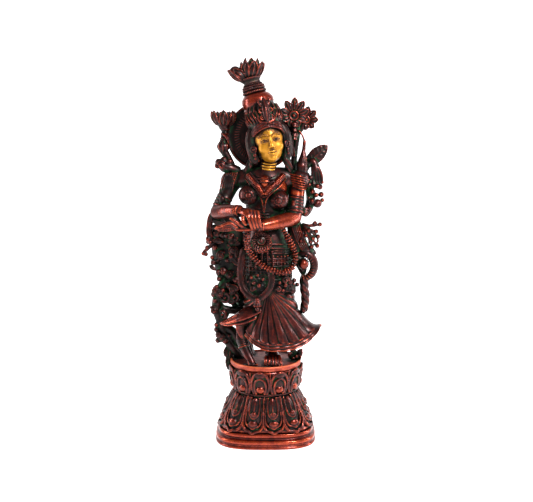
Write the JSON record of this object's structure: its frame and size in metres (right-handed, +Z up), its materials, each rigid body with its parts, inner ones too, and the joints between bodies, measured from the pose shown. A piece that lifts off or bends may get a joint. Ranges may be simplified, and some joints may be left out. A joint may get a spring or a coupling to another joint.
{
  "type": "deity statue",
  "caption": "Standing cast brass goddess statue with a crowned, haloed head and crossed arms, before a flowering tree on a double-lotus pedestal.",
  "frame": {"origin": "middle of the pedestal's flat underside", "axes": "+Z up, the figure faces -Y, its left hand is on the +X side"},
  "size_m": [0.2009, 0.1295, 0.6108],
  "materials": {
    "antique_lacquer_brass": "dark red-brown antique lacquer over cast brass, rubbed back on the high places",
    "red_lacquer_brass": "glossy red-copper lacquer over smoothed brass",
    "polished_gold_brass": "polished and clear-lacquered",
    "plain_brass": "plain turned or rolled brass",
    "zinc_steel": "zinc-plated steel"
  },
  "bodies": {
    "root": {"tie_rod": "zinc_steel", "tie_nut": "zinc_steel", "tie_washer": "zinc_steel", "bridge_bar": "zinc_steel", "cover_screws": "zinc_steel", "halo_stud": "plain_brass", "halo_nut": "plain_brass", "base_cover": "plain_brass", "base_plinth": "red_lacquer_brass", "lower_lotus_bell": "antique_lacquer_brass", "upper_lotus_bowl": "antique_lacquer_brass", "deck_plate": "red_lacquer_brass", "standing_leg": "antique_lacquer_brass", "crossed_leg": "antique_lacquer_brass", "left_anklet": "antique_lacquer_brass", "right_anklet": "antique_lacquer_brass", "skirt": "antique_lacquer_brass", "torso": "antique_lacquer_brass", "belt": "antique_lacquer_brass", "neck": "polished_gold_brass", "face": "polished_gold_brass", "left_upper_arm": "red_lacquer_brass", "left_forearm": "red_lacquer_brass", "left_hand": "red_lacquer_brass", "right_upper_arm": "red_lacquer_brass", "right_forearm": "red_lacquer_brass", "right_hand": "red_lacquer_brass", "left_armlet": "antique_lacquer_brass", "right_armlet": "antique_lacquer_brass", "left_bracelet": "antique_lacquer_brass", "right_bracelet": "antique_lacquer_brass", "left_sleeve": "antique_lacquer_brass", "right_sleeve": "antique_lacquer_brass", "crown_cap": "antique_lacquer_brass", "hair": "antique_lacquer_brass", "halo": "antique_lacquer_brass", "crown_dome": "red_lacquer_brass", "crown_crest": "antique_lacquer_brass", "finial_collar": "antique_lacquer_brass", "finial_lotus": "antique_lacquer_brass", "left_tress": "antique_lacquer_brass", "right_tress": "antique_lacquer_brass", "necklace": "antique_lacquer_brass", "garland": "antique_lacquer_brass", "sash_loop": "antique_lacquer_brass", "tassel": "antique_lacquer_brass", "tree_trunk": "antique_lacquer_brass", "blossom_mass": "antique_lacquer_brass", "bent_vine": "antique_lacquer_brass", "right_branch": "antique_lacquer_brass", "right_lotus": "antique_lacquer_brass", "left_branch": "antique_lacquer_brass", "left_flowers": "antique_lacquer_brass", "shoulder_leaf": "antique_lacquer_brass", "bell_flower": "antique_lacquer_brass", "berry_bunch": "antique_lacquer_brass", "side_scarf": "antique_lacquer_brass", "berry_spray": "antique_lacquer_brass", "scarf_fall": "antique_lacquer_brass", "deck_tuft": "antique_lacquer_brass"}
  },
  "joints": []
}
